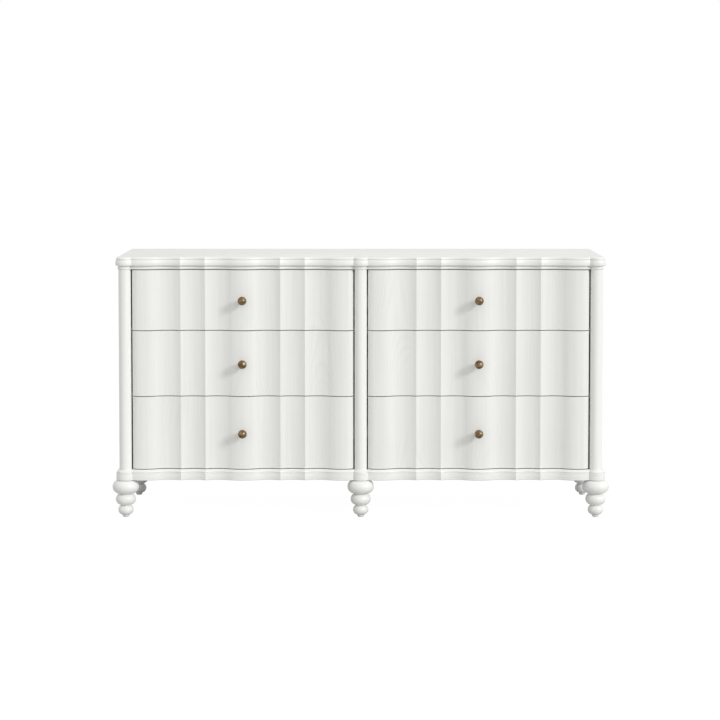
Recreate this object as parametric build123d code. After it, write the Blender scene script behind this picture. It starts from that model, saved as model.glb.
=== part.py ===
from build123d import *
import math
import os

# Six-drawer double dresser: two bays of three graduated drawers with scalloped fronts between round
# posts, on six turned legs. Millimetres. Modelled with the front post and leg axes on y = 0, the
# front facing -Y, and moved by FRONT_AXIS_Y at the end so that the origin is under the middle.

# ---- driving dimensions: plan ----
POST_X = 804.0              # centre line of the corner posts and legs
POST_RADIUS = 21.0
LEG_SPACING_Y = 432.0       # front leg axis to back leg axis
TOP_BACK_Y = 476.0          # back edge of the top board
CASE_BACK_Y = 461.0         # outer face of the back panel
BAY_X = POST_X / 2          # centre of each bay
BAY_WIDTH = POST_X - 2 * POST_RADIUS

# ---- driving dimensions: heights ----
LEG_HEIGHT = 128.0
BAND_TOP_Z = 154.0          # top of the flat band of the base moulding
BASE_TOP_Z = 164.0
FIRST_DRAWER_Z = 166.5
DRAWER_HEIGHTS = {"lower": 247.5, "middle": 222.5, "upper": 205.5}
DRAWER_GAP = 2.5
UNDER_MOULDING_Z = 849.5
TOP_BOARD_Z = 861.5
TOP_Z = 891.0

# ---- scalloped outline: every arc leaves the datum line at the same slope ----
ARC_SLOPE = 25.0            # degrees, at each end of each arc
DATUM_Y = -5.5              # line through all the junctions of the arcs
DOME_WIDTH = 88.0
PERIOD = 340.0              # dome peak to dome peak
FLUTE_WIDTH = (PERIOD - DOME_WIDTH) / 3
SLOPE_SIN = math.sin(math.radians(ARC_SLOPE))
SLOPE_COS = math.cos(math.radians(ARC_SLOPE))
DOME_RADIUS = DOME_WIDTH / 2 / SLOPE_SIN
FLUTE_RADIUS = FLUTE_WIDTH / 2 / SLOPE_SIN
DOME_CENTRE_Y = DATUM_Y + DOME_RADIUS * SLOPE_COS
FLUTE_CENTRE_Y = DATUM_Y - FLUTE_RADIUS * SLOPE_COS
DOME_PEAK_Y = DOME_CENTRE_Y - DOME_RADIUS

# ---- case ----
PANEL_OUTER_X = 818.0
PANEL_THICKNESS = 22.0
PANEL_RECESS = 6.0
PANEL_BORDER = 62.0
POST_BLOCK_DEPTH = 24.0
PARTITION_THICKNESS = 18.0
CLEAT_THICKNESS = 12.0
CLEAT_HEIGHT = 50.0
BACK_PANEL_THICKNESS = 6.0
FRAME_X = 808.0             # half width of the frames inside the mouldings
FRAME_FRONT_Y = 8.0         # back plane of the front under-moulding
BASE_BLOCK_Y = 50.0         # back plane of the front base moulding
BOTTOM_BOARD_THICKNESS = 18.0
RAIL_THICKNESS = 18.0
RAIL_DEPTH = 44.0
RAIL_FRONT_Y = 16.0
CORE_Y = 5.5                # the mouldings are solid behind this line

# ---- drawers ----
FRONT_WIDTH = 755.0
FRONT_BACK_Y = 14.0         # flat back face of the drawer front
BOX_WALL = 13.0
BOX_BACK_Y = 430.0
BOX_BELOW = 16.0            # drawer front reaches this far below the box
BOX_ABOVE = 24.0            # and this far above it
BOTTOM_THICKNESS = 6.0
BOTTOM_UP = 10.0
BOTTOM_INTO_GROOVE = 5.0

# ---- slides: three nested members ----
SLIDE_THICKNESS = 12.7
SLIDE_LENGTH = 400.0
SLIDE_FRONT_Y = 35.0
STEEL = 1.3
CABINET_MEMBER_HALF = 22.5
MIDDLE_MEMBER_HALF = 20.5
DRAWER_MEMBER_HALF = 18.5
MEMBER_GAP = 0.7

# ---- knob ----
KNOB_BALL_RADIUS = 15.0
KNOB_PROJECTION = 42.0
KNOB_NECK_RADIUS = 6.0
KNOB_FLANGE_RADIUS = 10.0
KNOB_FLANGE = 3.5
KNOB_SCREW_RADIUS = 2.0
KNOB_SCREW_DEPTH = 10.0
SCREW_CLEARANCE = 0.15

# ---- legs: (radius, height) at the necks and at the widest point of each bun ----
LEG_TOP = (22.0, LEG_HEIGHT)
LEG_BUNS = [((45.5, 104.0), (22.5, 80.5)), ((34.4, 62.2), (16.5, 41.0)), ((26.2, 25.6), (12.0, 7.5))]
TOE_RADIUS = 11.0
GLIDE_RADIUS = 8.5
GLIDE_HEIGHT = 1.5
BOLT_RADIUS = 4.0
BOLT_LOW_Z = 92.0
BOLT_HIGH_Z = 160.0
BOLT_CLEARANCE = 0.05

# ---- moulding profiles: (overhang past the outline, height); "arc" takes a middle point ----
TOP_PROFILE = [
    ("line", (5.9, TOP_BOARD_Z)),
    ("arc", (8.59, TOP_BOARD_Z + 1.11), (9.7, TOP_BOARD_Z + 3.8)),
    ("arc", (10.0, TOP_BOARD_Z + 11.5), (7.6, TOP_BOARD_Z + 19.4)),
    ("line", (6.0, TOP_BOARD_Z + 20.6)),
    ("line", (7.4, TOP_BOARD_Z + 21.6)),
    ("arc", (6.3, TOP_Z - 2.0), (2.4, TOP_Z)),
]
UNDER_PROFILE = [
    ("line", (1.0, UNDER_MOULDING_Z)),
    ("arc", (3.2, UNDER_MOULDING_Z + 2.6), (2.2, UNDER_MOULDING_Z + 6.6)),
    ("line", (0.8, UNDER_MOULDING_Z + 7.6)),
    ("line", (0.8, TOP_BOARD_Z)),
]
BASE_PROFILE = [
    ("line", (8.8, LEG_HEIGHT)),
    ("arc", (10.5, LEG_HEIGHT + 0.7), (11.2, LEG_HEIGHT + 2.4)),
    ("line", (11.2, LEG_HEIGHT + 15.4)),
    ("line", (10.6, LEG_HEIGHT + 16.0)),
    ("line", (10.6, BAND_TOP_Z - 1.4)),
    ("line", (9.6, BAND_TOP_Z - 0.5)),
    ("line", (7.4, BAND_TOP_Z - 0.4)),
    ("line", (7.4, BAND_TOP_Z + 1.1)),
    ("line", (9.0, BAND_TOP_Z + 1.3)),
    ("arc", (7.4, BAND_TOP_Z + 4.6), (4.4, BAND_TOP_Z + 6.4)),
    ("arc", (1.9, BAND_TOP_Z + 7.9), (0.6, BASE_TOP_Z)),
]

KNOB_TIP_Y = DOME_PEAK_Y - KNOB_PROJECTION
BACK_REACH_Y = LEG_SPACING_Y + LEG_BUNS[0][0][0]
FRONT_AXIS_Y = -(KNOB_TIP_Y + BACK_REACH_Y) / 2


def slab(x0, x1, y0, y1, z0, z1):
    """A rectangular board between two corners."""
    centre = Pos((x0 + x1) / 2, (y0 + y1) / 2, (z0 + z1) / 2)
    return centre * Box(x1 - x0, y1 - y0, z1 - z0)


def rod(x, y, z0, z1, radius):
    """An upright round bar."""
    return Pos(x, y, (z0 + z1) / 2) * Cylinder(radius, z1 - z0)


def both_sides(right):
    """The left and the right copy of a piece made for the right side."""
    return [mirror(right, about=Plane.YZ), right]


def profile_face(profile, inner, at_offset):
    """A moulding section in the XZ plane; at_offset turns an overhang into an X."""
    def place(point):
        return (at_offset(point[0]), 0, point[1])

    edges = []
    start = profile[0][-1]
    low = (inner, 0, start[1])
    edges.append(Line(low, place(start)))
    for step in profile[1:]:
        if step[0] == "arc":
            edges.append(ThreePointArc(place(start), place(step[1]), place(step[2])))
        else:
            edges.append(Line(place(start), place(step[1])))
        start = step[-1]
    high = (inner, 0, start[1])
    edges.append(Line(place(start), high))
    edges.append(Line(high, low))
    return make_face(edges)


def swept_arc(face, centre_x, centre_y, first_angle, last_angle):
    """Revolve a section about an upright axis, between two angles counted from +X."""
    turned = revolve(face, axis=Axis.Z, revolution_arc=last_angle - first_angle)
    return Pos(centre_x, centre_y, 0) * Rot(0, 0, first_angle) * turned


def dome_run(profile, x, left_slope, right_slope):
    face = profile_face(profile, DOME_RADIUS - 26, lambda overhang: DOME_RADIUS + overhang)
    return swept_arc(face, x, DOME_CENTRE_Y, -90 - left_slope, -90 + right_slope)


def flute_run(profile, x, ridge_left, ridge_right):
    """One flute: on a ridge side it runs on and is cut off by the ridge's own plane."""
    face = profile_face(profile, FLUTE_RADIUS + 16, lambda overhang: FLUTE_RADIUS - overhang)
    past_ridge = ARC_SLOPE + 8
    right_slope = past_ridge if ridge_right else ARC_SLOPE
    left_slope = past_ridge if ridge_left else ARC_SLOPE
    run = swept_arc(face, x, FLUTE_CENTRE_Y, 90 - right_slope, 90 + left_slope)
    half = FLUTE_WIDTH / 2
    low_x = x - half if ridge_left else x - 2 * half
    high_x = x + half if ridge_right else x + 2 * half
    return run & slab(low_x, high_x, -FLUTE_RADIUS, FLUTE_RADIUS, 0, TOP_Z)


def flute_positions():
    """Centres of the six flutes of a bay, each with whether its left and right ends are ridges."""
    found = []
    for start in (-PERIOD + DOME_WIDTH / 2, DOME_WIDTH / 2):
        for index in range(3):
            centre = start + FLUTE_WIDTH * (index + 0.5)
            found.append((centre, index > 0, index < 2))
    return found


def front_moulding(profile, back_y):
    """A moulding along the whole front, following the scallops and bumping round the posts."""
    low_z = profile[0][-1][1]
    high_z = profile[-1][-1][1]
    at_post = ARC_SLOPE + 9
    pieces = both_sides(side_moulding(profile, POST_X - POST_RADIUS, 0, back_y))
    pieces.append(slab(-POST_RADIUS, POST_RADIUS, 0, back_y, low_z, high_z))
    for bay_x in (-BAY_X, BAY_X):
        pieces.append(dome_run(profile, bay_x, ARC_SLOPE, ARC_SLOPE))
        pieces.append(dome_run(profile, bay_x - PERIOD, at_post, ARC_SLOPE))
        pieces.append(dome_run(profile, bay_x + PERIOD, ARC_SLOPE, at_post))
        for x, ridge_left, ridge_right in flute_positions():
            pieces.append(flute_run(profile, bay_x + x, ridge_left, ridge_right))
    collar = profile_face(profile, 0, lambda overhang: POST_RADIUS + overhang)
    for x in (-POST_X, 0, POST_X):
        pieces.append(swept_arc(collar, x, 0, -180, 0))
    body = slab(-POST_X, POST_X, CORE_Y, back_y, low_z, high_z) + pieces
    return body & slab(-2 * POST_X, 2 * POST_X, -POST_X, back_y, 0, 2 * TOP_Z)


def side_moulding(profile, inner_x, y0, y1):
    """The same moulding running straight back along the right side."""
    face = profile_face(profile, inner_x, lambda overhang: POST_X + POST_RADIUS + overhang)
    return Pos(0, y0, 0) * extrude(face, amount=y1 - y0, dir=(0, 1, 0))


def scalloped_front(height):
    """A drawer front centred on x = 0 and standing on z = 0."""
    half = FRONT_WIDTH / 2
    cut_y = DOME_CENTRE_Y - math.sqrt(DOME_RADIUS ** 2 - (half - PERIOD) ** 2)
    first = -PERIOD + DOME_WIDTH / 2
    last = PERIOD - DOME_WIDTH / 2
    edges = [Line((-half, FRONT_BACK_Y), (-half, cut_y))]
    edges.append(ThreePointArc((-half, cut_y), (-PERIOD, DOME_PEAK_Y), (first, DATUM_Y)))
    for x, ridge_left, ridge_right in flute_positions():
        low, high = x - FLUTE_WIDTH / 2, x + FLUTE_WIDTH / 2
        edges.append(ThreePointArc((low, DATUM_Y), (x, FLUTE_CENTRE_Y + FLUTE_RADIUS), (high, DATUM_Y)))
    middle = DOME_WIDTH / 2
    edges.append(ThreePointArc((-middle, DATUM_Y), (0, DOME_PEAK_Y), (middle, DATUM_Y)))
    edges.append(ThreePointArc((last, DATUM_Y), (PERIOD, DOME_PEAK_Y), (half, cut_y)))
    edges.append(Line((half, cut_y), (half, FRONT_BACK_Y)))
    edges.append(Line((half, FRONT_BACK_Y), (-half, FRONT_BACK_Y)))
    return extrude(make_face(edges), amount=height)


def knob_pieces(x, z):
    """The ball knob, blind-drilled from behind, and the machine screw that holds it."""
    centre = KNOB_PROJECTION - KNOB_BALL_RADIUS
    neck_top = centre - math.sqrt(KNOB_BALL_RADIUS ** 2 - KNOB_NECK_RADIUS ** 2)
    section = make_face([
        Line((0, 0), (KNOB_FLANGE_RADIUS, 0)),
        Line((KNOB_FLANGE_RADIUS, 0), (KNOB_FLANGE_RADIUS, KNOB_FLANGE - 1)),
        ThreePointArc((KNOB_FLANGE_RADIUS, KNOB_FLANGE - 1), (7.2, KNOB_FLANGE + 1.2), (KNOB_NECK_RADIUS, 7)),
        Line((KNOB_NECK_RADIUS, 7), (KNOB_NECK_RADIUS, neck_top)),
        ThreePointArc((KNOB_NECK_RADIUS, neck_top), (KNOB_BALL_RADIUS, centre), (0, KNOB_PROJECTION)),
        Line((0, KNOB_PROJECTION), (0, 0)),
    ])
    drilled = Pos(0, KNOB_SCREW_DEPTH / 2, 0) * Rot(90, 0, 0) * Cylinder(
        KNOB_SCREW_RADIUS + 0.05, KNOB_SCREW_DEPTH)
    knob = revolve(section, axis=Axis.Y) - drilled
    inside_y = FRONT_BACK_Y + BOX_WALL
    shank = inside_y - DOME_PEAK_Y + KNOB_SCREW_DEPTH - 1
    screw_axis = Rot(-90, 0, 0)
    screw = Pos(0, inside_y - shank / 2, 0) * screw_axis * Cylinder(KNOB_SCREW_RADIUS, shank)
    screw = screw + Pos(0, inside_y + 1.25, 0) * screw_axis * Cylinder(4.2, 2.5)
    placed_knob = Pos(x, DOME_PEAK_Y, z) * Rot(180, 0, 0) * knob
    return [placed_knob, Pos(x, 0, z) * screw]


def screw_hole(x, z):
    length = FRONT_BACK_Y + BOX_WALL - DOME_PEAK_Y + 20
    return Pos(x, 0, z) * Rot(-90, 0, 0) * Cylinder(KNOB_SCREW_RADIUS + SCREW_CLEARANCE, 2 * length)


def channel(half, web_x, tip_x, z):
    """A slide member: a web standing upright with two lips, from web_x towards tip_x."""
    towards = 1 if tip_x > web_x else -1
    web_far = web_x + towards * STEEL
    y0, y1 = SLIDE_FRONT_Y, SLIDE_FRONT_Y + SLIDE_LENGTH
    body = slab(min(web_x, web_far), max(web_x, web_far), y0, y1, z - half, z + half)
    low_x, high_x = min(web_x, tip_x), max(web_x, tip_x)
    for lip_z in (z - half, z + half - STEEL):
        body = body + slab(low_x, high_x, y0, y1, lip_z, lip_z + STEEL)
    return body


def slide_members(bay_x, z):
    """Cabinet, middle and drawer members at both sides of a drawer, nested without touching."""
    wall = BAY_WIDTH / 2
    middle_web = wall - STEEL - MEMBER_GAP
    drawer_web = wall - SLIDE_THICKNESS
    lips_end = drawer_web + STEEL + MEMBER_GAP
    members = {}
    shapes = {
        "cabinet": channel(CABINET_MEMBER_HALF, wall, lips_end, z),
        "middle": channel(MIDDLE_MEMBER_HALF, middle_web, lips_end, z),
        "drawer": channel(DRAWER_MEMBER_HALF, drawer_web, middle_web - STEEL - MEMBER_GAP, z),
    }
    for name, shape in shapes.items():
        members[name] = [Pos(bay_x, 0, 0) * copy for copy in both_sides(shape)]
    return members


def drawer_box(x, z0, z1, hole):
    """Sides, back and inner front grooved for the bottom, and the bottom itself."""
    half = BAY_WIDTH / 2 - SLIDE_THICKNESS
    inner = half - BOX_WALL
    groove = inner + BOTTOM_INTO_GROOVE
    low = z0 + BOTTOM_UP
    inner_front_y = FRONT_BACK_Y + BOX_WALL
    inner_back_y = BOX_BACK_Y - BOX_WALL
    bottom = slab(x - groove, x + groove, inner_front_y - BOTTOM_INTO_GROOVE,
                  inner_back_y + BOTTOM_INTO_GROOVE, low, low + BOTTOM_THICKNESS)
    walls = [
        slab(x - half, x - inner, FRONT_BACK_Y, BOX_BACK_Y, z0, z1),
        slab(x + inner, x + half, FRONT_BACK_Y, BOX_BACK_Y, z0, z1),
        slab(x - inner, x + inner, inner_back_y, BOX_BACK_Y, z0, z1),
        slab(x - inner, x + inner, FRONT_BACK_Y, inner_front_y, z0, z1) - hole,
    ]
    return [wall - bottom for wall in walls], bottom


def leg(x, y):
    """A turned leg of three diminishing buns and a toe, bored for its bolt."""
    edges = [Line((0, 0, LEG_HEIGHT), (LEG_TOP[0], 0, LEG_HEIGHT))]
    start = LEG_TOP
    for widest, neck in LEG_BUNS:
        points = [(point[0], 0, point[1]) for point in (start, widest, neck)]
        edges.append(ThreePointArc(*points))
        start = neck
    edges.append(Line((start[0], 0, start[1]), (TOE_RADIUS, 0, GLIDE_HEIGHT)))
    edges.append(Line((TOE_RADIUS, 0, GLIDE_HEIGHT), (0, 0, GLIDE_HEIGHT)))
    edges.append(Line((0, 0, GLIDE_HEIGHT), (0, 0, LEG_HEIGHT)))
    turned = revolve(make_face(edges), axis=Axis.Z)
    bore = rod(0, 0, BOLT_LOW_Z - 1, LEG_HEIGHT, BOLT_RADIUS + BOLT_CLEARANCE)
    return Pos(x, y, 0) * (turned - bore)


def corner_post(block_y0, block_y1, y):
    """A round post on the right corner with the square block that the side is joined to."""
    column = rod(POST_X, y, BASE_TOP_Z, UNDER_MOULDING_Z, POST_RADIUS)
    inner_x = POST_X - POST_RADIUS
    block = slab(inner_x, PANEL_OUTER_X - 2, block_y0, block_y1, BASE_TOP_Z, UNDER_MOULDING_Z)
    return column + block


def wood_screw(x, y, z, direction, length):
    """A pan-head screw whose head's underside is at the point, driven along a direction."""
    shank = Pos(0, 0, length / 2) * Cylinder(2.0, length)
    head = Pos(0, 0, -1.25) * Cylinder(4.0, 2.5)
    along = Plane(origin=(x, y, z), z_dir=direction)
    return along * (shank + head)


def save(name, solids):
    placed = [Pos(0, FRONT_AXIS_Y, 0) * solid for solid in solids]
    node = placed[0] if len(placed) == 1 else Compound(children=placed)
    node.label = name
    export_step(node, f"parts/{name}.step")


os.makedirs("parts", exist_ok=True)

# ---- top ----
BACK_POST_Y = LEG_SPACING_Y
top_board = front_moulding(TOP_PROFILE, BASE_BLOCK_Y)
for strip in both_sides(side_moulding(TOP_PROFILE, POST_X, 0, TOP_BACK_Y)):
    top_board = top_board + strip
top_board = top_board + slab(-POST_X, POST_X, CORE_Y, TOP_BACK_Y, TOP_BOARD_Z, TOP_Z)
save("top_board", [top_board])

under = [front_moulding(UNDER_PROFILE, FRAME_FRONT_Y)]
under += both_sides(side_moulding(UNDER_PROFILE, FRAME_X, FRAME_FRONT_Y, CASE_BACK_Y))
save("top_under_moulding", under)

FRAME_BACK_Y = CASE_BACK_Y - BACK_PANEL_THICKNESS
FRAME_RAIL = 62.0
INNER_FRAME_Y0 = FRAME_FRONT_Y + FRAME_RAIL
INNER_FRAME_Y1 = FRAME_BACK_Y - FRAME_RAIL
top_frame = [
    slab(-FRAME_X, FRAME_X, FRAME_FRONT_Y, INNER_FRAME_Y0, UNDER_MOULDING_Z, TOP_BOARD_Z),
    slab(-FRAME_X, FRAME_X, INNER_FRAME_Y1, FRAME_BACK_Y, UNDER_MOULDING_Z, TOP_BOARD_Z),
]
for rail_x in (FRAME_RAIL / 2 - FRAME_X, 0, FRAME_X - FRAME_RAIL / 2):
    top_frame.append(slab(
        rail_x - FRAME_RAIL / 2, rail_x + FRAME_RAIL / 2, INNER_FRAME_Y0, INNER_FRAME_Y1,
        UNDER_MOULDING_Z, TOP_BOARD_Z))
save("top_frame", top_frame)

# ---- sides, partition, back, bottom ----
PANEL_Y0 = POST_BLOCK_DEPTH
PANEL_Y1 = BACK_POST_Y - POST_BLOCK_DEPTH
PANEL_INNER_X = PANEL_OUTER_X - PANEL_THICKNESS
side_panel = slab(PANEL_INNER_X, PANEL_OUTER_X, PANEL_Y0, PANEL_Y1, BASE_TOP_Z, UNDER_MOULDING_Z)
side_panel = side_panel - slab(
    PANEL_OUTER_X - PANEL_RECESS, PANEL_OUTER_X, PANEL_Y0 + PANEL_BORDER, PANEL_Y1 - PANEL_BORDER,
    BASE_TOP_Z + PANEL_BORDER, UNDER_MOULDING_Z - PANEL_BORDER)
for name, panel in zip(("side_panel_left", "side_panel_right"), both_sides(side_panel)):
    save(name, [panel])

half_partition = PARTITION_THICKNESS / 2
save("centre_partition", [
    slab(-half_partition, half_partition, POST_BLOCK_DEPTH, FRAME_BACK_Y, BASE_TOP_Z, UNDER_MOULDING_Z)])
save("back_panel", [slab(-FRAME_X, FRAME_X, FRAME_BACK_Y, CASE_BACK_Y, LEG_HEIGHT, TOP_BOARD_Z)])
BOTTOM_BOARD_Z = BASE_TOP_Z - BOTTOM_BOARD_THICKNESS
BASE_INNER_X = FRAME_X - FRAME_RAIL
save("bottom_board", [
    slab(-BASE_INNER_X, BASE_INNER_X, BASE_BLOCK_Y, FRAME_BACK_Y, BOTTOM_BOARD_Z, BASE_TOP_Z)])

# ---- base ----
leg_places = [(x, y) for y in (0, BACK_POST_Y) for x in (-POST_X, 0, POST_X)]
bolt_bores = [rod(x, y, 0, BOLT_HIGH_Z + 0.5, BOLT_RADIUS + BOLT_CLEARANCE) for x, y in leg_places]
base = [front_moulding(BASE_PROFILE, BASE_BLOCK_Y) - bolt_bores[:3]]
for strip, bore in zip(
        both_sides(side_moulding(BASE_PROFILE, BASE_INNER_X, BASE_BLOCK_Y, FRAME_BACK_Y)),
        (bolt_bores[3], bolt_bores[5])):
    base.append(strip - bore)
save("base_moulding", base)

BASE_RAIL_Y0 = FRAME_BACK_Y - FRAME_RAIL
base_frame = [
    slab(-BASE_INNER_X, BASE_INNER_X, BASE_RAIL_Y0, FRAME_BACK_Y, LEG_HEIGHT, BOTTOM_BOARD_Z) - bolt_bores[4],
    slab(-FRAME_RAIL / 2, FRAME_RAIL / 2, BASE_BLOCK_Y, BASE_RAIL_Y0, LEG_HEIGHT, BOTTOM_BOARD_Z),
]
save("base_frame", base_frame)

# ---- posts ----
for name, post in zip(("front_post_left", "front_post_right"), both_sides(corner_post(0, POST_BLOCK_DEPTH, 0))):
    save(name, [post])
centre_post = rod(0, 0, BASE_TOP_Z, UNDER_MOULDING_Z, POST_RADIUS)
centre_post = centre_post + slab(
    -POST_RADIUS, POST_RADIUS, 0, POST_BLOCK_DEPTH, BASE_TOP_Z, UNDER_MOULDING_Z)
save("front_post_centre", [centre_post])
save("back_posts", both_sides(corner_post(PANEL_Y1, FRAME_BACK_Y, BACK_POST_Y)))

# ---- legs ----
legs = [leg(x, y) for x, y in leg_places]
for name, solid in zip(("front_leg_left", "front_leg_centre", "front_leg_right"), legs[:3]):
    save(name, [solid])
save("back_legs", legs[3:])
centre_back_bolt_top = BOTTOM_BOARD_Z - 2
bolts = []
for index, (x, y) in enumerate(leg_places):
    high = centre_back_bolt_top if index == 4 else BOLT_HIGH_Z
    bolts.append(rod(x, y, BOLT_LOW_Z, high, BOLT_RADIUS))
save("leg_bolts", bolts)
save("foot_glides", [rod(x, y, 0, GLIDE_HEIGHT, GLIDE_RADIUS) for x, y in leg_places])

# ---- drawers ----
cabinet_slides = []
cleats = []
rails = []
front_z = FIRST_DRAWER_Z
for row, height in DRAWER_HEIGHTS.items():
    box_z0 = front_z + BOX_BELOW
    box_z1 = front_z + height - BOX_ABOVE
    slide_z = (box_z0 + box_z1) / 2
    knob_z = front_z + height / 2
    for side, bay_x in (("left", -BAY_X), ("right", BAY_X)):
        drawer = f"{row}_{side}"
        hole = screw_hole(bay_x, knob_z)
        save(f"{drawer}_front", [Pos(bay_x, 0, front_z) * scalloped_front(height) - hole])
        walls, bottom = drawer_box(bay_x, box_z0, box_z1, hole)
        save(f"{drawer}_box", walls)
        save(f"{drawer}_bottom", [bottom])
        save(f"{drawer}_knob", knob_pieces(bay_x, knob_z))
        members = slide_members(bay_x, slide_z)
        save(f"{drawer}_drawer_slides", members["drawer"])
        save(f"{drawer}_middle_slides", members["middle"])
        cabinet_slides += members["cabinet"]
    low, high = slide_z - CLEAT_HEIGHT / 2, slide_z + CLEAT_HEIGHT / 2
    inner_x = PANEL_INNER_X - CLEAT_THICKNESS
    cleats += both_sides(slab(inner_x, PANEL_INNER_X, PANEL_Y0, PANEL_Y1, low, high))
    cleats += both_sides(slab(half_partition, POST_RADIUS, POST_BLOCK_DEPTH, FRAME_BACK_Y, low, high))
    front_z += height
    if row != "upper":
        rail_z = front_z + DRAWER_GAP / 2
        low, high = rail_z - RAIL_THICKNESS / 2, rail_z + RAIL_THICKNESS / 2
        outer_x = POST_X - POST_RADIUS
        for y0 in (RAIL_FRONT_Y, FRAME_BACK_Y - RAIL_THICKNESS):
            y1 = RAIL_FRONT_Y + RAIL_DEPTH if y0 == RAIL_FRONT_Y else FRAME_BACK_Y
            inner_edge = POST_RADIUS if y0 == RAIL_FRONT_Y else half_partition
            rails += both_sides(slab(inner_edge, outer_x, y0, y1, low, high))
    front_z += DRAWER_GAP
save("cabinet_slides", cabinet_slides)
save("slide_cleats", cleats)
save("drawer_rails", rails)

# ---- screws: up into the top board, and through the back panel ----
screws = []
for x in (-700, -350, 350, 700):
    for y in (INNER_FRAME_Y0 - FRAME_RAIL / 2, INNER_FRAME_Y1 + FRAME_RAIL / 2):
        screws.append(wood_screw(x, y, UNDER_MOULDING_Z, (0, 0, 1), 28))
for z in (250, 400, 550, 700):
    for x in (-POST_X + 6, 0, POST_X - 6):
        screws.append(wood_screw(x, CASE_BACK_Y, z, (0, -1, 0), 20))
for x in (-600, -300, 300, 600):
    for z in (140, UNDER_MOULDING_Z + 6):
        screws.append(wood_screw(x, CASE_BACK_Y, z, (0, -1, 0), 20))
save("carcass_screws", screws)
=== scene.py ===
import math

import bmesh
import bpy
from mathutils import Matrix, Vector

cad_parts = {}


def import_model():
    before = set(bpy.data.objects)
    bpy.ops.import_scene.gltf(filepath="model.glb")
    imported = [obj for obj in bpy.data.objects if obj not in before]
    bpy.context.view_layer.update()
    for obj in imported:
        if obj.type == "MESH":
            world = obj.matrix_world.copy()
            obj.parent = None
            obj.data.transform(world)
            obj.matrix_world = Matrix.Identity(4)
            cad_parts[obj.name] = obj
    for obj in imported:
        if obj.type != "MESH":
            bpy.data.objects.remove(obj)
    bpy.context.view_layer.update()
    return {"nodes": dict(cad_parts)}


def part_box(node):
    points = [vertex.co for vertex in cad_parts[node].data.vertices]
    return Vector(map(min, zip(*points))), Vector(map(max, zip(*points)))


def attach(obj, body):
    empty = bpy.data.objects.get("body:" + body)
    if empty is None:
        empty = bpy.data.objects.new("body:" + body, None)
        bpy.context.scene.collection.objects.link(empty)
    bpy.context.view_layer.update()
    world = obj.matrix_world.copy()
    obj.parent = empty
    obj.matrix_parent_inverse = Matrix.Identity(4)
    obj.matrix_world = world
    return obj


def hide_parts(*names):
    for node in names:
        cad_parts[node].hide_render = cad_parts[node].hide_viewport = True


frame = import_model()

# Everything is in metres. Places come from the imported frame; the values below are the shapes' own.

# ---- plan of the case, from the frame ----
LEG_LOW, LEG_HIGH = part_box("front_leg_right")
POST_LOW, POST_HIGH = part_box("front_post_centre")
TOP_LOW, TOP_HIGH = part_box("top_board")
UNDER_LOW, UNDER_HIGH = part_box("top_under_moulding")
BASE_LOW, BASE_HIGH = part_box("base_moulding")
SIDE_LOW, SIDE_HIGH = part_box("side_panel_right")
BACK_LEGS_HIGH_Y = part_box("back_legs")[1].y
AXIS_Y = (LEG_LOW.y + LEG_HIGH.y) / 2
POST_X = (LEG_LOW.x + LEG_HIGH.x) / 2
POST_RADIUS = (POST_HIGH.x - POST_LOW.x) / 2
BACK_AXIS_Y = BACK_LEGS_HIGH_Y - (LEG_HIGH.y - LEG_LOW.y) / 2
BAY_X = POST_X / 2
ROWS = ("upper", "middle", "lower")
SIDES = (("left", -BAY_X), ("right", BAY_X))

# ---- scalloped outline ----
ARC_SLOPE = math.radians(25)
DATUM = -0.0055             # line of the arcs' junctions, from the post axis
DOME_WIDTH = 0.088
PERIOD = 0.340
FLUTE_WIDTH = (PERIOD - DOME_WIDTH) / 3
DOME_RADIUS = DOME_WIDTH / 2 / math.sin(ARC_SLOPE)
FLUTE_RADIUS = FLUTE_WIDTH / 2 / math.sin(ARC_SLOPE)
DOME_Y = AXIS_Y + DATUM + DOME_RADIUS * math.cos(ARC_SLOPE)
FLUTE_Y = AXIS_Y + DATUM - FLUTE_RADIUS * math.cos(ARC_SLOPE)
DOME_PEAK_Y = DOME_Y - DOME_RADIUS
ARC_STEPS = 18
POST_STEPS = 22


# ---- mesh helpers ----
def new_object(name, vertices, faces, smooth_angle=32):
    """A mesh object with clean normals, smooth except across edges sharper than the angle."""
    mesh = bpy.data.meshes.new(name)
    mesh.from_pydata([tuple(v) for v in vertices], [], faces)
    tidy = bmesh.new()
    tidy.from_mesh(mesh)
    bmesh.ops.remove_doubles(tidy, verts=tidy.verts, dist=1e-6)
    bmesh.ops.dissolve_degenerate(tidy, edges=tidy.edges, dist=1e-6)
    bmesh.ops.recalc_face_normals(tidy, faces=tidy.faces)
    tidy.to_mesh(mesh)
    tidy.free()
    mesh.shade_smooth()
    mesh.set_sharp_from_angle(angle=math.radians(smooth_angle))
    made = bpy.data.objects.new(name, mesh)
    bpy.context.collection.objects.link(made)
    return made


def ease_edges(made, width, segments=2, angle=30):
    """Round every edge sharper than the angle, and keep the flat faces flat."""
    bevel = made.modifiers.new("eased_edges", "BEVEL")
    bevel.width = width
    bevel.segments = segments
    bevel.limit_method = "ANGLE"
    bevel.angle_limit = math.radians(angle)
    bevel.use_clamp_overlap = True
    normals = made.modifiers.new("even_normals", "WEIGHTED_NORMAL")
    normals.keep_sharp = False
    normals.weight = 60
    return made


def finish_piece(made, material, body, slot_name, *nodes):
    made.data.materials.append(material)
    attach(made, body)
    if nodes:
        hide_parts(*nodes)
    return made


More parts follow.
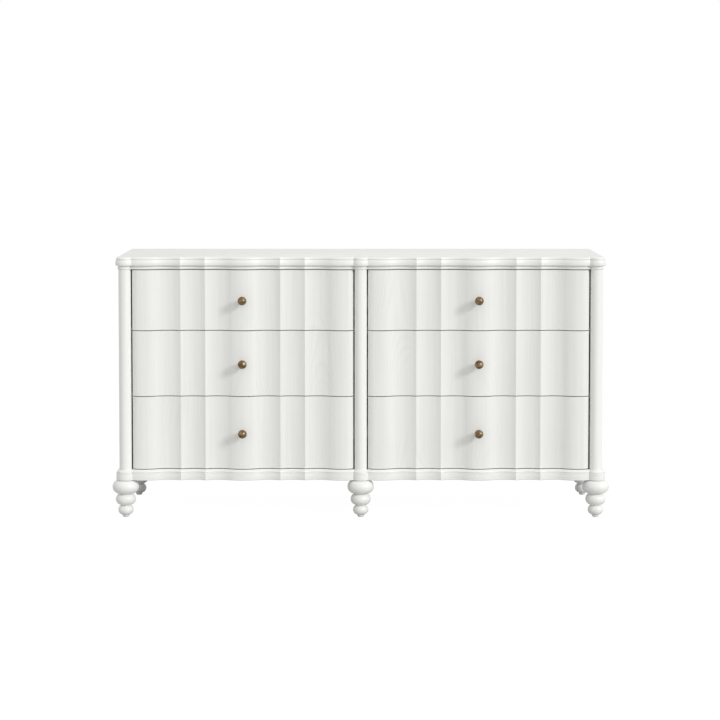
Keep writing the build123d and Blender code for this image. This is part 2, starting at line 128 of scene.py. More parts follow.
def arc_through(start, middle, end, steps):
    """Points on the circle through three points, from the first to the last."""
    (ax, ay), (bx, by), (cx, cy) = start, middle, end
    d = 2 * (ax * (by - cy) + bx * (cy - ay) + cx * (ay - by))
    a2, b2, c2 = ax * ax + ay * ay, bx * bx + by * by, cx * cx + cy * cy
    ux = (a2 * (by - cy) + b2 * (cy - ay) + c2 * (ay - by)) / d
    uy = (a2 * (cx - bx) + b2 * (ax - cx) + c2 * (bx - ax)) / d
    radius = math.hypot(ax - ux, ay - uy)
    first = math.atan2(ay - uy, ax - ux)
    through = (math.atan2(by - uy, bx - ux) - first) % (2 * math.pi)
    turn = (math.atan2(cy - uy, cx - ux) - first) % (2 * math.pi)
    if through > turn:
        turn -= 2 * math.pi
    angles = [first + turn * i / steps for i in range(steps + 1)]
    return [(ux + radius * math.cos(a), uy + radius * math.sin(a)) for a in angles]


def section(*steps):
    """A profile as points: a pair is a corner, and three pairs in a list are an arc through them."""
    points = []
    for step in steps:
        if isinstance(step, list):
            points += arc_through(*step, 8)
        else:
            points.append(step)
    return [p for i, p in enumerate(points) if i == 0 or math.dist(p, points[i - 1]) > 1e-7]


def lathe(name, profile, centre, steps=96, axis="Z"):
    """Turn a profile of (radius, distance along the axis) into a closed solid."""
    rings = []
    vertices = []
    for radius, along in profile:
        if radius < 1e-7:
            rings.append([len(vertices)])
            vertices.append((0, 0, along))
            continue
        rings.append(list(range(len(vertices), len(vertices) + steps)))
        for i in range(steps):
            a = 2 * math.pi * i / steps
            vertices.append((radius * math.cos(a), radius * math.sin(a), along))
    faces = []
    for low, high in zip(rings, rings[1:]):
        for i in range(steps):
            j = (i + 1) % steps
            if len(low) == 1 and len(high) == 1:
                continue
            if len(low) == 1:
                faces.append((low[0], high[j], high[i]))
            elif len(high) == 1:
                faces.append((low[i], low[j], high[0]))
            else:
                faces.append((low[i], low[j], high[j], high[i]))
    for ring in (rings[0], rings[-1]):
        if len(ring) > 1:
            faces.append(tuple(ring))
    turn = Matrix.Rotation(math.radians(90), 4, "X") if axis == "-Y" else Matrix.Identity(4)
    place = Matrix.Translation(centre) @ turn
    return new_object(name, [place @ Vector(v) for v in vertices], faces)


def prism(name, outline, low, high, along="Z"):
    """Extrude a closed outline; its points are the two coordinates that are not the extrusion's."""
    place = {
        "X": lambda p, t: (t, p[0], p[1]),
        "Y": lambda p, t: (p[0], t, p[1]),
        "Z": lambda p, t: (p[0], p[1], t),
    }[along]
    count = len(outline)
    vertices = [place(p, low) for p in outline] + [place(p, high) for p in outline]
    faces = [tuple(range(count)), tuple(range(2 * count - 1, count - 1, -1))]
    for i in range(count):
        j = (i + 1) % count
        faces.append((i, j, count + j, count + i))
    return new_object(name, vertices, faces)


# ---- the outline of the front ----
def arc_points(x, y, radius, facing, first, last, steps):
    """Points of an arc that faces the front; facing is 1 for a dome or post and -1 for a flute."""
    points = []
    for i in range(steps):
        a = first + (last - first) * i / steps
        points.append((x + radius * math.sin(a), y - facing * radius * math.cos(a)))
    return points


def dome_meets_post(radius, post_radius, dome_x, post_x):
    """Angles, in the dome and in the post, of the point where the two round surfaces meet."""
    dx, dy = post_x - dome_x, AXIS_Y - DOME_Y
    apart = math.hypot(dx, dy)
    along = (apart ** 2 + radius ** 2 - post_radius ** 2) / (2 * apart)
    aside = math.sqrt(radius ** 2 - along ** 2)
    turn = -1 if dx > 0 else 1
    x = dome_x + (dx * along - turn * -dy * aside) / apart
    y = DOME_Y + (dy * along - turn * dx * aside) / apart
    if y > AXIS_Y:
        x = dome_x + (dx * along + turn * -dy * aside) / apart
        y = DOME_Y + (dy * along + turn * dx * aside) / apart
    dome_angle = math.asin((x - dome_x) / radius)
    post_angle = math.atan2(x - post_x, AXIS_Y - y)
    return dome_angle, post_angle


def bay_arcs(overhang, first_end, last_end):
    """The arcs of one bay, from left to right, centred on x = 0 and moved out by the overhang."""
    dome, flute = DOME_RADIUS + overhang, FLUTE_RADIUS - overhang
    ridge = math.asin(FLUTE_WIDTH / 2 / flute)
    slope = ARC_SLOPE
    arcs = [(-PERIOD, DOME_Y, dome, 1, first_end, slope)]
    for start in (DOME_WIDTH / 2 - PERIOD, DOME_WIDTH / 2):
        ends = ((-slope, ridge), (-ridge, ridge), (-ridge, slope))
        for i, (first, last) in enumerate(ends):
            arcs.append((start + FLUTE_WIDTH * (i + 0.5), FLUTE_Y, flute, -1, first, last))
        if start < 0:
            arcs.append((0, DOME_Y, dome, 1, -slope, slope))
    arcs.append((PERIOD, DOME_Y, dome, 1, -slope, last_end))
    return arcs


def front_outline(overhang):
    """The whole front from the left corner to the right one, scallops and posts."""
    dome, post = DOME_RADIUS + overhang, POST_RADIUS + overhang
    at_centre, from_centre = dome_meets_post(dome, post, BAY_X - PERIOD, 0)
    at_corner, from_corner = dome_meets_post(dome, post, BAY_X + PERIOD, POST_X)
    right = arc_points(0, AXIS_Y, post, 1, 0, from_centre, POST_STEPS)
    for x, y, radius, facing, first, last in bay_arcs(overhang, at_centre, at_corner):
        right += arc_points(BAY_X + x, y, radius, facing, first, last, ARC_STEPS)
    right += arc_points(POST_X, AXIS_Y, post, 1, from_corner, math.pi / 2, POST_STEPS)
    right.append((POST_X + post, AXIS_Y))
    return [(-x, y) for x, y in reversed(right[1:])] + right


def wrapped_outline(overhang, back_y):
    """The front outline and straight sides back to the wall."""
    x = POST_X + POST_RADIUS + overhang
    return [(-x, back_y)] + front_outline(overhang) + [(x, back_y)]


def moulding(name, profile, back_y, inner_x=None, inner_y=None):
    """A moulding round the front and sides. With no inner size it is a whole board."""
    vertices, faces, loops = [], [], []
    for overhang, z in profile:
        outline = wrapped_outline(overhang, back_y)
        loops.append(range(len(vertices), len(vertices) + len(outline)))
        vertices += [(x, y, z) for x, y in outline]
    count = len(loops[0])
    if inner_x is None:
        for low, high in zip(loops, loops[1:]):
            for i in range(count):
                j = (i + 1) % count
                faces.append((low[i], low[j], high[j], high[i]))
        faces.append(tuple(loops[0]))
        faces.append(tuple(loops[-1]))
        return new_object(name, vertices, faces)
    for z in (profile[-1][1], profile[0][1]):
        outline = wrapped_outline(0, back_y)
        loops.append(range(len(vertices), len(vertices) + count))
        for index, (x, y) in enumerate(outline):
            at_back = index in (0, count - 1)
            inner = max(-inner_x, min(inner_x, x))
            vertices.append((inner, back_y if at_back else inner_y, z))
    loops.append(loops[0])
    for low, high in zip(loops, loops[1:]):
        for i in range(count - 1):
            faces.append((low[i], low[i + 1], high[i + 1], high[i]))
    for end in (0, count - 1):
        faces.append(tuple(loop[end] for loop in loops[:-1]))
    return new_object(name, vertices, faces)


# ---- node helpers for materials ----
class Nodes:
    """A small builder for one material's node tree."""

    def __init__(self, name):
        self.material = bpy.data.materials.new(name)
        self.material.use_nodes = True
        self.tree = self.material.node_tree
        self.shader = self.tree.nodes["Principled BSDF"]
        self.where = self.add("ShaderNodeTexCoord").outputs["Object"]

    def add(self, kind, **settings):
        node = self.tree.nodes.new(kind)
        for key, value in settings.items():
            setattr(node, key, value)
        return node

    def link(self, output, target):
        self.tree.links.new(output, target)

    def set(self, **values):
        """Constant values, set on the shader's own sockets."""
        for key, value in values.items():
            self.shader.inputs[key.replace("_", " ")].default_value = value

    def scaled(self, scale, offset=(0, 0, 0)):
        node = self.add("ShaderNodeMapping")
        node.inputs["Scale"].default_value = scale
        node.inputs["Location"].default_value = offset
        self.link(self.where, node.inputs["Vector"])
        return node.outputs["Vector"]

    def noise(self, vector, detail=3.0, distortion=0.0):
        node = self.add("ShaderNodeTexNoise")
        node.inputs["Scale"].default_value = 1.0
        node.inputs["Detail"].default_value = detail
        node.inputs["Roughness"].default_value = 0.55
        node.inputs["Distortion"].default_value = distortion
        self.link(vector, node.inputs["Vector"])
        return node.outputs["Fac"]

    def remap(self, value, low, high, to_low=0.0, to_high=1.0, smooth=True):
        node = self.add("ShaderNodeMapRange")
        node.interpolation_type = "SMOOTHSTEP" if smooth else "LINEAR"
        node.inputs["From Min"].default_value = low
        node.inputs["From Max"].default_value = high
        node.inputs["To Min"].default_value = to_low
        node.inputs["To Max"].default_value = to_high
        self.link(value, node.inputs["Value"])
        return node.outputs["Result"]

    def math(self, operation, a, b):
        node = self.add("ShaderNodeMath", operation=operation)
        for socket, value in zip(node.inputs, (a, b)):
            if isinstance(value, (int, float)):
                socket.default_value = value
            else:
                self.link(value, socket)
        return node.outputs["Value"]

    def colours(self, value, *stops):
        """A colour ramp; each stop is (position, colour)."""
        node = self.add("ShaderNodeValToRGB")
        ramp = node.color_ramp
        while len(ramp.elements) < len(stops):
            ramp.elements.new(0.5)
        for element, (position, colour) in zip(ramp.elements, stops):
            element.position = position
            element.color = (*colour, 1)
        self.link(value, node.inputs["Fac"])
        return node.outputs["Color"]

    def bump(self, height, distance, strength=1.0):
        node = self.add("ShaderNodeBump")
        node.inputs["Distance"].default_value = distance
        node.inputs["Strength"].default_value = strength
        self.link(height, node.inputs["Height"])
        return node.outputs["Normal"]


def along(grain, across, length):
    """Scales for a texture that is fine across the grain and long along it."""
    return tuple(length if axis == grain else across for axis in "XYZ")


def cathedral(n, grain, seed):
    """Growth lines of flat-sawn boards glued side by side: nested arches, wide in the middle of a board."""
    board = 0.262
    apart = n.add("ShaderNodeSeparateXYZ")
    n.link(n.scaled((1, 1, 1), (seed * 0.37, seed * 0.37, seed * 0.61)), apart.inputs["Vector"])
    length = apart.outputs[grain]
    across = apart.outputs["Z" if grain == "X" else "X"]
    warp = n.noise(n.scaled((2.4, 2.4, 2.4), (seed, seed, seed)), detail=2.0)
    bent = n.math("ADD", across, n.math("MULTIPLY", warp, 0.09))
    middle = n.math("SUBTRACT", n.math("FLOORED_MODULO", bent, board), board / 2)
    arch = n.math("MULTIPLY", n.math("MULTIPLY", middle, middle), 760.0)
    count = n.math("ADD", arch, n.math("MULTIPLY", length, 13.0))
    count = n.math("ADD", count, n.math("MULTIPLY", warp, 7.0))
    line = n.math("SINE", n.math("MULTIPLY", count, 2 * math.pi), 0.0)
    patches = n.noise(n.scaled((4.0, 4.0, 4.0), (seed * 2.0, seed, seed)), detail=1.0)
    return n.math("MULTIPLY", n.remap(line, -0.1, 1.0), n.remap(patches, 0.42, 0.62))


def painted_oak(name, grain, seed=0.0, figure=1.0, light=0.870):
    """White satin paint on open-grained oak: fine pores and streaks, and a faint figure of growth lines."""
    n = Nodes(name)
    shift = (seed * 3.1, seed * 1.7, seed * 2.3)
    pores = n.remap(n.noise(n.scaled(along(grain, 1150, 26), shift), detail=2.0), 0.58, 0.72)
    fine = n.noise(n.scaled(along(grain, 330, 3.0), shift), detail=3.0)
    broad = n.noise(n.scaled(along(grain, 60, 1.3), shift), detail=2.0)
    lines = n.math("MULTIPLY", cathedral(n, grain, seed), figure)
    height = n.math("ADD", n.math("MULTIPLY", fine, 0.40), n.math("MULTIPLY", pores, -0.35))
    height = n.math("ADD", height, n.math("MULTIPLY", lines, -0.30))
    tone = n.math("ADD", n.math("MULTIPLY", fine, 0.42), n.math("MULTIPLY", broad, 0.42))
    tone = n.math("ADD", tone, n.math("MULTIPLY", pores, -0.10))
    tone = n.math("ADD", tone, n.math("MULTIPLY", lines, -0.12))
    n.link(
        n.colours(tone, (0.10, [light - 0.105] * 2 + [light - 0.135]), (0.62, [light] * 2 + [light - 0.030])),
        n.shader.inputs["Base Color"],
    )
    n.link(n.remap(fine, 0.3, 0.7, 0.38, 0.46), n.shader.inputs["Roughness"])
    n.link(n.bump(height, 0.00012, 0.7), n.shader.inputs["Normal"])
    return n.material


def bare_wood(name, grain, light, dark, seed=0.0, roughness=(0.45, 0.6)):
    """Light wood with growth streaks, pores and a little colour variation from board to board."""
    n = Nodes(name)
    shift = (seed * 2.3, seed * 1.1, seed * 3.7)
    streaks = n.noise(n.scaled(along(grain, 120, 2.0), shift), detail=5.0, distortion=0.4)
    fibres = n.noise(n.scaled(along(grain, 900, 18), shift), detail=3.0)
    broad = n.noise(n.scaled(along(grain, 14, 0.9), shift), detail=2.0)
    tone = n.math("ADD", n.math("MULTIPLY", streaks, 0.55), n.math("MULTIPLY", fibres, 0.2))
    tone = n.math("ADD", tone, n.math("MULTIPLY", broad, 0.3))
    n.link(n.colours(tone, (0.38, dark), (0.66, light)), n.shader.inputs["Base Color"])
    n.link(n.remap(fibres, 0.3, 0.7, *roughness), n.shader.inputs["Roughness"])
    n.link(n.bump(fibres, 0.0002, 0.6), n.shader.inputs["Normal"])
    return n.material


def aged_brass():
    """Antique brass: worn bright in some patches and brown in others, the patches scattered by noise."""
    n = Nodes("antique_brass")
    patches = n.noise(n.scaled((90, 90, 90)), detail=4.0)
    specks = n.noise(n.scaled((900, 900, 900)), detail=2.0)
    tone = n.math("ADD", n.math("MULTIPLY", patches, 0.8), n.math("MULTIPLY", specks, 0.2))
    n.link(
        n.colours(tone, (0.34, (0.105, 0.064, 0.033)), (0.52, (0.28, 0.192, 0.108)),
                  (0.68, (0.44, 0.33, 0.205))),
        n.shader.inputs["Base Color"],
    )
    n.link(n.remap(patches, 0.35, 0.65, 0.30, 0.46), n.shader.inputs["Roughness"])
    n.link(n.bump(specks, 0.00005, 0.5), n.shader.inputs["Normal"])
    n.set(Metallic=1.0)
    return n.material


def zinc_steel(name, grain):
    """Bright zinc plate with the drawn lines of rolled steel and a faint spangle."""
    n = Nodes(name)
    lines = n.noise(n.scaled(along(grain, 1600, 12)), detail=2.0)
    cells = n.add("ShaderNodeTexVoronoi")
    cells.inputs["Scale"].default_value = 160.0
    n.link(n.where, cells.inputs["Vector"])
    tone = n.math("ADD", n.math("MULTIPLY", lines, 0.6), n.math("MULTIPLY", cells.outputs["Distance"], 0.5))
    n.link(
        n.colours(tone, (0.2, (0.46, 0.47, 0.49)), (0.8, (0.72, 0.73, 0.74))),
        n.shader.inputs["Base Color"],
    )
    n.link(n.remap(lines, 0.3, 0.7, 0.26, 0.42), n.shader.inputs["Roughness"])
    n.link(n.bump(lines, 0.00005, 0.5), n.shader.inputs["Normal"])
    n.set(Metallic=1.0)
    return n.material


def nylon():
    n = Nodes("nylon")
    grain = n.noise(n.scaled((700, 700, 700)), detail=3.0)
    n.link(n.colours(grain, (0.3, (0.66, 0.65, 0.62)), (0.7, (0.74, 0.73, 0.70))),
           n.shader.inputs["Base Color"])
    n.link(n.remap(grain, 0.3, 0.7, 0.45, 0.6), n.shader.inputs["Roughness"])
    n.link(n.bump(grain, 0.0001, 0.5), n.shader.inputs["Normal"])
    return n.material


# The posts, legs and long mouldings get a lighter tone than the drawers and sides (0.870). It is the same
# white paint, with painted light added for the brighter light these parts catch.
PAINT_UPRIGHT = painted_oak("paint_upright_grain", "Z", 0.3, 0.4, 0.905)
PAINT_LEG = painted_oak("paint_leg", "Z", 0.5, 0.4, 0.892)
PAINT_LONG = painted_oak("paint_long_grain", "X", 0.7, 0.6, 0.880)
PAINT_SIDE = painted_oak("paint_side", "Z", 1.9)
BIRCH_SIDE = bare_wood("drawer_side_wood", "Y", (0.62, 0.48, 0.32), (0.47, 0.335, 0.20), 0.4)
BIRCH_CROSS = bare_wood("drawer_cross_wood", "X", (0.63, 0.49, 0.33), (0.48, 0.345, 0.21), 1.3)
BIRCH_END = bare_wood("drawer_end_grain", "X", (0.50, 0.36, 0.22), (0.36, 0.25, 0.145), 2.2, (0.6, 0.75))
BIRCH_PLY = bare_wood("drawer_plywood", "X", (0.66, 0.53, 0.37), (0.55, 0.42, 0.27), 3.1)
PRIMER = ((0.74, 0.74, 0.72), (0.66, 0.66, 0.635))
PRIMED_ACROSS = bare_wood("primed_pine_across", "X", *PRIMER, 4.6, (0.55, 0.7))
PRIMED_DEEP = bare_wood("primed_pine_deep", "Y", *PRIMER, 5.2, (0.55, 0.7))
PRIMED_PLY = bare_wood("primed_plywood", "Z", (0.62, 0.61, 0.57), (0.54, 0.53, 0.485), 6.4, (0.6, 0.75))
BRASS = aged_brass()
ZINC_DRAWN = zinc_steel("zinc_drawn", "Y")
ZINC_FIXING = zinc_steel("zinc_fixing", "Z")
NYLON = nylon()

# ---- mouldings ----
TOP_Z0, TOP_Z1 = TOP_LOW.z, TOP_HIGH.z
TOP_SECTION = section(
    (0.0059, TOP_Z0),
    [(0.0059, TOP_Z0 + 0.00005), (0.0086, TOP_Z0 + 0.0011), (0.0097, TOP_Z0 + 0.0038)],
    [(0.0097, TOP_Z0 + 0.0040), (0.0100, TOP_Z0 + 0.0115), (0.0076, TOP_Z0 + 0.0194)],
    (0.0060, TOP_Z0 + 0.0204),
    (0.0060, TOP_Z0 + 0.0214),
    (0.0074, TOP_Z0 + 0.0218),
    [(0.0074, TOP_Z0 + 0.0222), (0.0063, TOP_Z1 - 0.0020), (0.0024, TOP_Z1)],
)
UNDER_Z0, UNDER_Z1 = UNDER_LOW.z, UNDER_HIGH.z
UNDER_SECTION = section(
    (0.0010, UNDER_Z0),
    [(0.0010, UNDER_Z0 + 0.0001), (0.0032, UNDER_Z0 + 0.0026), (0.0022, UNDER_Z0 + 0.0066)],
    (0.0008, UNDER_Z0 + 0.0074),
    (0.0008, UNDER_Z1),
)
BASE_Z0, BASE_Z1 = BASE_LOW.z, BASE_HIGH.z
BAND_TOP = BASE_Z1 - 0.010
BASE_SECTION = section(
    (0.0088, BASE_Z0),
    [(0.0088, BASE_Z0 + 0.0001), (0.0105, BASE_Z0 + 0.0007), (0.0112, BASE_Z0 + 0.0024)],
    (0.0112, BASE_Z0 + 0.0152),
    (0.0106, BASE_Z0 + 0.0160),
    (0.0106, BAND_TOP - 0.0014),
    (0.0096, BAND_TOP - 0.0005),
    (0.0072, BAND_TOP - 0.0004),
    (0.0072, BAND_TOP + 0.0011),
    (0.0090, BAND_TOP + 0.0013),
    [(0.0090, BAND_TOP + 0.0015), (0.0074, BAND_TOP + 0.0046), (0.0044, BAND_TOP + 0.0064)],
    [(0.0044, BAND_TOP + 0.0064), (0.0019, BAND_TOP + 0.0079), (0.0006, BASE_Z1)],
)
top = moulding("top_board_moulded", TOP_SECTION, TOP_HIGH.y)
finish_piece(top, PAINT_LONG, "carcass", "white_paint", "top_board")
under = moulding("under_moulding", UNDER_SECTION, UNDER_HIGH.y, POST_X, AXIS_Y + 0.008)
finish_piece(under, PAINT_LONG, "carcass", "white_paint", "top_under_moulding")
BASE_INNER_X, BASE_INNER_Y = POST_X - 0.058, AXIS_Y + 0.050
base = moulding("base_moulding_shaped", BASE_SECTION, BASE_HIGH.y, BASE_INNER_X, BASE_INNER_Y)
finish_piece(base, PAINT_LONG, "carcass", "white_paint", "base_moulding")


# ---- posts ----
def post_outline(first, last):
    """Round part of a post between two angles, 0 facing the front and 90 degrees facing right."""
    steps = 60
    points = []
    for i in range(steps + 1):
        a = math.radians(first + (last - first) * i / steps)
        points.append((POST_RADIUS * math.sin(a), -POST_RADIUS * math.cos(a)))
    return points


def posts():
    low_z, high_z = POST_LOW.z, POST_HIGH.z
    block_back = POST_HIGH.y - AXIS_Y
    block_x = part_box("front_post_right")[0].x - POST_X
    flat_x = SIDE_HIGH.x - 0.002 - POST_X
    flat_turn = math.degrees(math.acos(flat_x / POST_RADIUS))
    centre = post_outline(-90, 90)
    centre += [(POST_RADIUS, block_back), (-POST_RADIUS, block_back)]
    corner = post_outline(-90, 90 + flat_turn)
    corner += [(flat_x, block_back), (block_x, block_back)]
    back_low, back_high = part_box("back_posts")
    rear = post_outline(90 - flat_turn, 90 + flat_turn)
    rear += [(flat_x, back_high.y - BACK_AXIS_Y), (block_x, back_high.y - BACK_AXIS_Y)]
    rear += [(block_x, back_low.y - BACK_AXIS_Y), (flat_x, back_low.y - BACK_AXIS_Y)]
    places = [("front_post_centre", centre, 0, AXIS_Y, 1)]
    for side, sign in (("left", -1), ("right", 1)):
        places.append((f"front_post_{side}", corner, sign * POST_X, AXIS_Y, sign))
        places.append((f"back_post_{side}", rear, sign * POST_X, BACK_AXIS_Y, sign))
    for name, outline, x, y, sign in places:
        placed = [(x + sign * px, y + py) for px, py in outline]
        made = prism(f"{name}_turned", placed, low_z, high_z)
        node = "back_posts" if name.startswith("back") else name
        finish_piece(made, PAINT_UPRIGHT, "carcass", "white_paint", node)


posts()


# ---- side panels: a frame round a sunk field with a moulded border ----
def side_panel(side, sign):
    inner_x, outer_x = SIDE_LOW.x, SIDE_HIGH.x
    depth = 0.006
    border = 0.062
    nested = [(0.0, inner_x), (0.0, outer_x), (border, outer_x)]
    ovolo = arc_through((0, 0), (0.0035, 0.0012), (0.005, 0.0045), 6)
    nested += [(border + a, outer_x - b) for a, b in ovolo]
    nested += [(border + 0.007, outer_x - 0.0045), (border + 0.0085, outer_x - depth)]
    vertices, faces = [], []
    for inset, x in nested:
        y0, y1 = SIDE_LOW.y + inset, SIDE_HIGH.y - inset
        z0, z1 = SIDE_LOW.z + inset, SIDE_HIGH.z - inset
        vertices += [(sign * x, y, z) for y, z in ((y0, z0), (y1, z0), (y1, z1), (y0, z1))]
    for level in range(len(nested) - 1):
        for i in range(4):
            j = (i + 1) % 4
            low = level * 4
            faces.append((low + i, low + j, low + 4 + j, low + 4 + i))
    faces.append((0, 1, 2, 3))
    faces.append(tuple(range(len(vertices) - 4, len(vertices))))
    made = new_object(f"side_panel_{side}_framed", vertices, faces, 25)
    finish_piece(made, PAINT_SIDE, "carcass", "white_paint", f"side_panel_{side}")


for side, sign in (("left", -1), ("right", 1)):
    side_panel(side, sign)


# ---- legs ----
def leg_section():
    """Three diminishing buns with narrow grooves between them, and a small toe, from the floor up."""
    top_z = LEG_HIGH.z
    toe_z = LEG_LOW.z
    return section(
        (0, toe_z),
        (0.0102, toe_z),
        (0.0110, toe_z + 0.0008),
        (0.0120, 0.0072),
        [(0.0123, 0.0078), (0.0262, 0.0256), (0.0172, 0.0404)],
        (0.0165, 0.0410),
        [(0.0170, 0.0417), (0.0344, 0.0622), (0.0232, 0.0798)],
        (0.0225, 0.0805),
        [(0.0232, 0.0812), (0.04547, 0.1040), (0.0220, top_z)],
        (0, top_z),
    )


LEG_SECTION = leg_section()
for row, y in (("front", AXIS_Y), ("back", BACK_AXIS_Y)):
    for side, x in (("left", -POST_X), ("centre", 0), ("right", POST_X)):
        turned = lathe(f"{row}_leg_{side}_turned", LEG_SECTION, (x, y, 0))
        node = "back_legs" if row == "back" else f"front_leg_{side}"
        finish_piece(turned, PAINT_LEG, "carcass", "white_paint", node)


# ---- drawers ----
BOX_WALL = 0.013
END_ROUND = 0.020           # the ends of a drawer front roll back a little over this width
END_DROP = 0.0050
OUTER_GAP = 0.0012          # taken off a drawer front's end beside a corner post
INNER_GAP = 0.0003          # and beside the centre post


def scalloped_outline():
    """Front edge of a drawer front with its rounded ends, centred on x = 0, from left to right."""
    low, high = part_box("lower_right_front")
    half = (high.x - low.x) / 2
    cut = math.asin((half - PERIOD) / DOME_RADIUS)
    points = []
    for x, y, radius, facing, first, last in bay_arcs(0, -cut, cut):
        points += arc_points(x, y, radius, facing, first, last, 2 * ARC_STEPS)
    points.append((half, points[0][1]))
    rounded = []
    for px, py in points:
        past = max(0.0, abs(px) - half + END_ROUND) / END_ROUND
        rounded.append((px, py + END_DROP * past ** 2))
    return rounded, high.y


FRONT_CURVE, FRONT_BACK_Y = scalloped_outline()
KNOB_SECTION = section(
    (0, 0.0002),
    (0.0096, 0.0002),
    [(0.0096, 0.0003), (0.0101, 0.0012), (0.0096, 0.0022)],
    [(0.0094, 0.0024), (0.0068, 0.0040), (0.0058, 0.0078)],
    [(0.0057, 0.0100), (0.0058, 0.0122), (0.0068, 0.0136)],
    [(0.0070, 0.0144), (0.0150, 0.0270), (0, 0.0420)],
)
SCREW_SECTION = section(
    (0, 0),
    (0.0042, 0),
    [(0.0042, 0.0008), (0.0036, 0.0020), (0.0020, 0.0025)],
    (0.0011, 0.0025),
    (0.0009, 0.0012),
    (0, 0.0012),
)


def drawer_front(drawer, x, paint):
    low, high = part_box(f"{drawer}_front")
    left_gap, right_gap = (OUTER_GAP, INNER_GAP) if x < 0 else (INNER_GAP, OUTER_GAP)
    left, right = low.x + left_gap, high.x - right_gap
    outline = [(min(max(x + px, left), right), py) for px, py in FRONT_CURVE]
    outline += [(outline[-1][0], FRONT_BACK_Y), (outline[0][0], FRONT_BACK_Y)]
    made = prism(f"{drawer}_front_scalloped", outline, low.z, high.z)
    ease_edges(made, 0.0010, 2, 34)
    finish_piece(made, paint, f"{drawer}_drawer", "white_paint", f"{drawer}_front")


def tails(end_y, inward, z0, z1, thickness):
    """Corner points of the dovetails at one end of a side board, from the bottom up."""
    count = max(3, round((z1 - z0) / 0.034))
    pitch = (z1 - z0) / count
    neck, flare = pitch * 0.31, thickness / 7
    shoulder = end_y + inward * thickness
    points = []
    for i in range(count):
        middle = z0 + pitch * (i + 0.5)
        points += [(shoulder, middle - neck), (end_y, middle - neck - flare)]
        points += [(end_y, middle + neck + flare), (shoulder, middle + neck)]
    return points


def dovetailed_box(drawer, body):
    """Sides with tails, and back and inner front with pins, all as real boards."""
    low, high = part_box(f"{drawer}_box")
    wall = BOX_WALL
    boards = []
    front_tails = tails(low.y, 1, low.z, high.z, wall)
    back_tails = tails(high.y, -1, low.z, high.z, wall)
    for side, x0 in (("left", low.x), ("right", high.x - wall)):
        outline = [(low.y + wall, low.z)] + front_tails + [(low.y + wall, high.z)]
        outline += [(high.y - wall, high.z)] + back_tails[::-1] + [(high.y - wall, low.z)]
        board = prism(f"{drawer}_side_{side}", outline, x0, x0 + wall, "X")
        boards.append((f"side_{side}", [board], BIRCH_SIDE))
    for name, y0, points in (("inner_front", low.y, front_tails), ("back", high.y - wall, back_tails)):
        y1 = y0 + wall
        edge = [(y0, low.z), (y1, low.z), (y1, high.z), (y0, high.z)]
        parts = [prism("board", edge, low.x + wall, high.x - wall, "X")]
        shoulder = y1 if name == "inner_front" else y0
        end_y = y0 if name == "inner_front" else y1
        gaps = [[(shoulder, low.z), (end_y, low.z), points[1], points[0]]]
        for i in range(3, len(points) - 1, 4):
            gaps.append([points[i], points[i - 1], points[i + 2], points[i + 1]])
        gaps.append([points[-1], points[-2], (end_y, high.z), (shoulder, high.z)])
        for gap in gaps:
            parts.append(prism("pin", gap, low.x, low.x + wall, "X"))
            parts.append(prism("pin", gap, high.x - wall, high.x, "X"))
        boards.append((name, parts, BIRCH_CROSS))
    for name, parts, material in boards:
        made = parts[0]
        made.data.materials.append(material)
        if len(parts) > 1:
            for pin in parts[1:]:
                pin.data.materials.append(BIRCH_END)
            bpy.ops.object.select_all(action="DESELECT")
            for part in parts:
                part.select_set(True)
            bpy.context.view_layer.objects.active = made
            bpy.ops.object.join()
        made.name = f"{drawer}_{name}_dovetailed"
        ease_edges(made, 0.0004, 1, 40)
        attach(made, body)
        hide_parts(f"{drawer}_box")


def knob(drawer, x, body):
    low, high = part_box(f"{drawer}_front")
    z = (low.z + high.z) / 2
    turned = lathe(f"{drawer}_knob_turned", KNOB_SECTION, (x, DOME_PEAK_Y, z), 64, "-Y")
    finish_piece(turned, BRASS, body, "antique_brass", f"{drawer}_knob")
    inside_y = FRONT_BACK_Y + BOX_WALL
    head = lathe(f"{drawer}_knob_screw", [(r, -a) for r, a in SCREW_SECTION], (x, inside_y, z), 32, "-Y")
    finish_piece(head, ZINC_FIXING, body, "antique_brass", f"{drawer}_knob")


for row_index, row in enumerate(ROWS):
    for side_index, (side, bay_x) in enumerate(SIDES):
        drawer = f"{row}_{side}"
        body = f"{drawer}_drawer"
        seed = 1.37 * (2 * row_index + side_index + 1)
        paint = painted_oak(f"paint_{drawer}", "Z", seed)
        drawer_front(drawer, bay_x, paint)
        dovetailed_box(drawer, body)
        knob(drawer, bay_x, body)


# ---- CAD nodes that keep their own shape ----
def dress(node, material, edge=0.0):
    kept = frame["nodes"][node]
    kept.data.materials.clear()
    kept.data.materials.append(material)
    if edge:
        ease_edges(kept, edge, 2, 40)


for node, material, edge in (
    ("top_frame", PRIMED_ACROSS, 0.0008), ("base_frame", PRIMED_ACROSS, 0.0008),
    ("bottom_board", PRIMED_ACROSS, 0.0008),
    ("drawer_rails", PRIMED_ACROSS, 0.0008), ("centre_partition", PRIMED_DEEP, 0.0008),
    ("slide_cleats", PRIMED_DEEP, 0.0008), ("back_panel", PRIMED_PLY, 0.0005),
    ("cabinet_slides", ZINC_DRAWN, 0.0002), ("carcass_screws", ZINC_FIXING, 0.0003),
    ("leg_bolts", ZINC_FIXING, 0.0), ("foot_glides", NYLON, 0.0006),
):
    dress(node, material, edge)
for row in ROWS:
    for side, bay_x in SIDES:
        drawer = f"{row}_{side}"
        dress(f"{drawer}_bottom", BIRCH_PLY, 0.0004)
        dress(f"{drawer}_drawer_slides", ZINC_DRAWN, 0.0002)
        dress(f"{drawer}_middle_slides", ZINC_DRAWN, 0.0002)


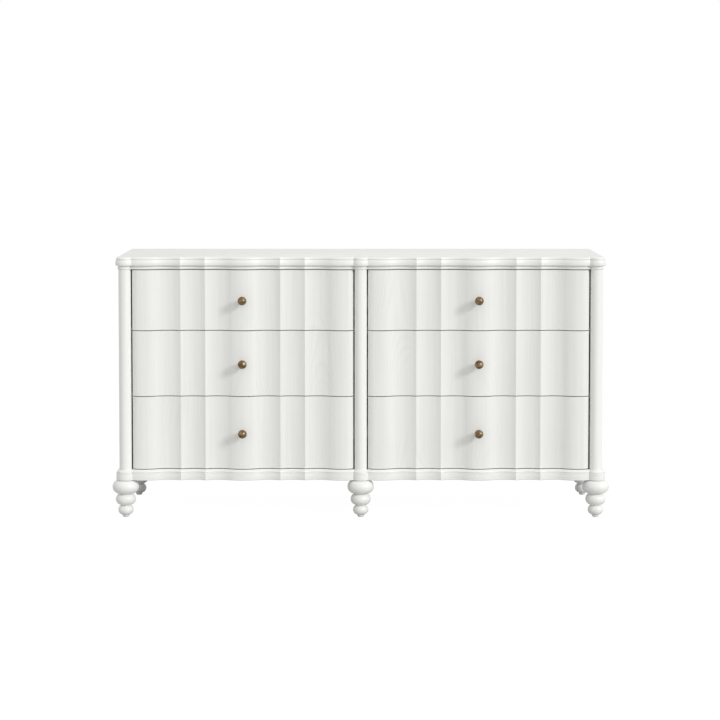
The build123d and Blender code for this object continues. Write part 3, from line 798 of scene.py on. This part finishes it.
# ---- stage, light and camera ----
def floor():
    """A white sweep: nearly even white to the eye, and an ordinary pale floor for the light it sends back."""
    size = 30.0
    corners = [(-size, -size, 0), (size, -size, 0), (size, size, 0), (-size, size, 0)]
    made = new_object("floor", corners, [(0, 1, 2, 3)])
    n = Nodes("floor")
    n.set(Base_Color=(0.56, 0.56, 0.56, 1), Roughness=0.9)
    n.shader.inputs["Specular IOR Level"].default_value = 0.0
    white = n.add("ShaderNodeEmission")
    white.inputs["Strength"].default_value = 0.985
    faint = n.add("ShaderNodeBsdfDiffuse")
    faint.inputs["Color"].default_value = (0.035, 0.035, 0.035, 1)
    seen = n.add("ShaderNodeAddShader")
    n.link(white.outputs["Emission"], seen.inputs[0])
    n.link(faint.outputs["BSDF"], seen.inputs[1])
    path = n.add("ShaderNodeLightPath")
    mix = n.add("ShaderNodeMixShader")
    n.link(path.outputs["Is Camera Ray"], mix.inputs["Fac"])
    n.link(n.shader.outputs["BSDF"], mix.inputs[1])
    n.link(seen.outputs["Shader"], mix.inputs[2])
    n.link(mix.outputs["Shader"], n.tree.nodes["Material Output"].inputs["Surface"])
    made.data.materials.append(n.material)


def world():
    """White to the eye; a softer white for the light that it gives."""
    made = bpy.data.worlds.new("studio")
    bpy.context.scene.world = made
    made.use_nodes = True
    tree = made.node_tree
    tree.nodes.clear()
    output = tree.nodes.new("ShaderNodeOutputWorld")
    mix = tree.nodes.new("ShaderNodeMixShader")
    path = tree.nodes.new("ShaderNodeLightPath")
    shades = []
    for strength in (0.785, 1.0):
        shade = tree.nodes.new("ShaderNodeBackground")
        shade.inputs["Color"].default_value = (1, 1, 1, 1)
        shade.inputs["Strength"].default_value = strength
        shades.append(shade)
    tree.links.new(path.outputs["Is Camera Ray"], mix.inputs["Fac"])
    tree.links.new(shades[0].outputs["Background"], mix.inputs[1])
    tree.links.new(shades[1].outputs["Background"], mix.inputs[2])
    tree.links.new(mix.outputs["Shader"], output.inputs["Surface"])


def sun(name, azimuth, elevation, strength, spread):
    """A distant light; azimuth 0 is straight in front and 90 is to the right, in degrees."""
    a, e = math.radians(azimuth), math.radians(elevation)
    towards = Vector((math.sin(a) * math.cos(e), -math.cos(a) * math.cos(e), math.sin(e)))
    data = bpy.data.lights.new(name, "SUN")
    data.energy = strength
    data.angle = math.radians(spread)
    made = bpy.data.objects.new(name, data)
    made.rotation_mode = "QUATERNION"
    made.rotation_quaternion = towards.to_track_quat("Z", "Y")
    bpy.context.collection.objects.link(made)


EYE_DISTANCE, EYE_HEIGHT = 7.1613, 1.3492
LOOK_DOWN = 3.23            # degrees
LENS = 105.43               # mm


def camera():
    """Eye height well above the top, far back, with a long lens that looks slightly down."""
    data = bpy.data.cameras.new("camera")
    data.sensor_width = 36.0
    data.lens = LENS
    data.shift_x = -0.00095
    data.shift_y = -0.165
    data.clip_end = 100.0
    made = bpy.data.objects.new("camera", data)
    made.location = (0, AXIS_Y - EYE_DISTANCE, EYE_HEIGHT)
    made.rotation_euler = (math.radians(90 - LOOK_DOWN), 0, 0)
    bpy.context.collection.objects.link(made)
    bpy.context.scene.camera = made


floor()
world()
sun("key", 49, 25, 1.50, 14)
camera()
bpy.context.scene.view_settings.view_transform = "Standard"
